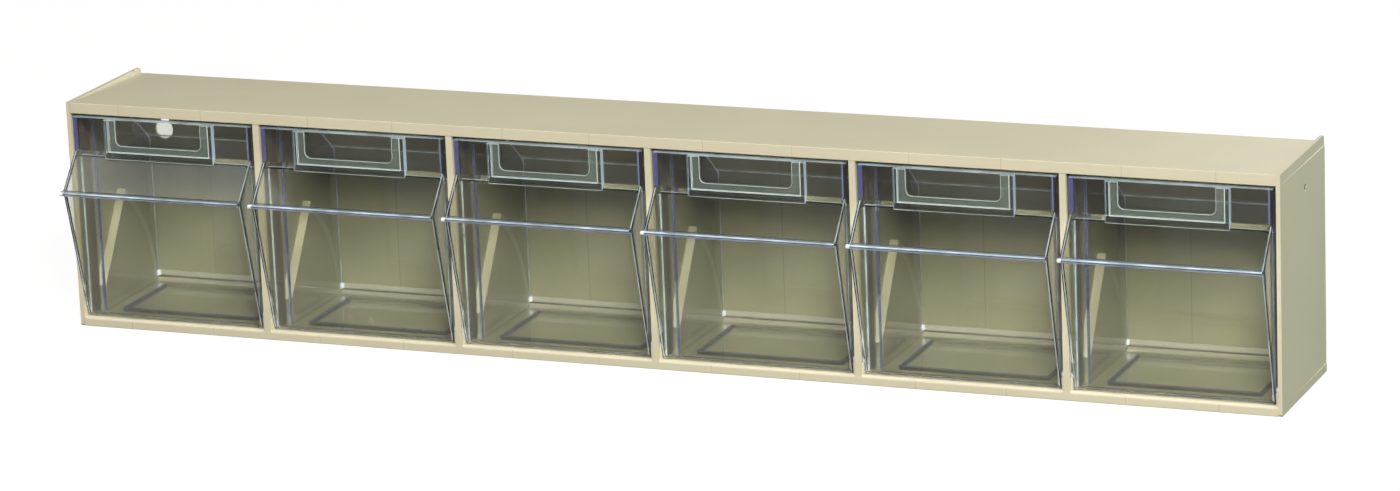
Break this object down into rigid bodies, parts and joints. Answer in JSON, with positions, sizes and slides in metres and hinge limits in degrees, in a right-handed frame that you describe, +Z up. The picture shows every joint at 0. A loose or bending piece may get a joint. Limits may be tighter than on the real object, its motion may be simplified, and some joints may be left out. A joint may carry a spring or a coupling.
{
  "type": "tip-out bin cabinet",
  "caption": "Low wide cabinet of moulded cream plastic with a row of clear tip-out bins, each with a V front, pull lip and card pocket, hinged along its lower front edge.",
  "frame": {"origin": "middle of the cabinet's base, on the surface it stands on", "axes": "+X along the row of bins to the right as seen from the front, +Y to the back, +Z up"},
  "size_m": [0.6, 0.093, 0.111],
  "materials": {
    "cabinet_plastic": "satin moulded cream polystyrene",
    "clear_bin": "clear, slightly smoky polystyrene",
    "clear_holder": "clear polystyrene"
  },
  "bodies": {
    "cabinet": {"top_panel": "cabinet_plastic", "bottom_panel": "cabinet_plastic", "back_panel": "cabinet_plastic", "end_panel_left": "cabinet_plastic", "end_panel_right": "cabinet_plastic", "divider_1": "cabinet_plastic", "divider_2": "cabinet_plastic", "divider_3": "cabinet_plastic", "divider_4": "cabinet_plastic", "divider_5": "cabinet_plastic"},
    "tip_bin_1": {"bin_1": "clear_bin", "bin_1_label_holder": "clear_holder"},
    "tip_bin_2": {"bin_2": "clear_bin", "bin_2_label_holder": "clear_holder"},
    "tip_bin_3": {"bin_3": "clear_bin", "bin_3_label_holder": "clear_holder"},
    "tip_bin_4": {"bin_4": "clear_bin", "bin_4_label_holder": "clear_holder"},
    "tip_bin_5": {"bin_5": "clear_bin", "bin_5_label_holder": "clear_holder"},
    "tip_bin_6": {"bin_6": "clear_bin", "bin_6_label_holder": "clear_holder"}
  },
  "joints": [
    {"name": "bin_1_tilt", "type": "hinge", "parent": "cabinet", "child": "tip_bin_1", "pos_m": [-0.24963, -0.0344, 0.0115], "axis": [1, 0, 0], "range_deg": [0, 44.4]},
    {"name": "bin_2_tilt", "type": "hinge", "parent": "cabinet", "child": "tip_bin_2", "pos_m": [-0.14977, -0.0344, 0.0115], "axis": [1, 0, 0], "range_deg": [0, 44.4]},
    {"name": "bin_3_tilt", "type": "hinge", "parent": "cabinet", "child": "tip_bin_3", "pos_m": [-0.04992, -0.0344, 0.0115], "axis": [1, 0, 0], "range_deg": [0, 44.4]},
    {"name": "bin_4_tilt", "type": "hinge", "parent": "cabinet", "child": "tip_bin_4", "pos_m": [0.04992, -0.0344, 0.0115], "axis": [1, 0, 0], "range_deg": [0, 44.4]},
    {"name": "bin_5_tilt", "type": "hinge", "parent": "cabinet", "child": "tip_bin_5", "pos_m": [0.14977, -0.0344, 0.0115], "axis": [1, 0, 0], "range_deg": [0, 44.4]},
    {"name": "bin_6_tilt", "type": "hinge", "parent": "cabinet", "child": "tip_bin_6", "pos_m": [0.24963, -0.0344, 0.0115], "axis": [1, 0, 0], "range_deg": [0, 44.4]}
  ]
}
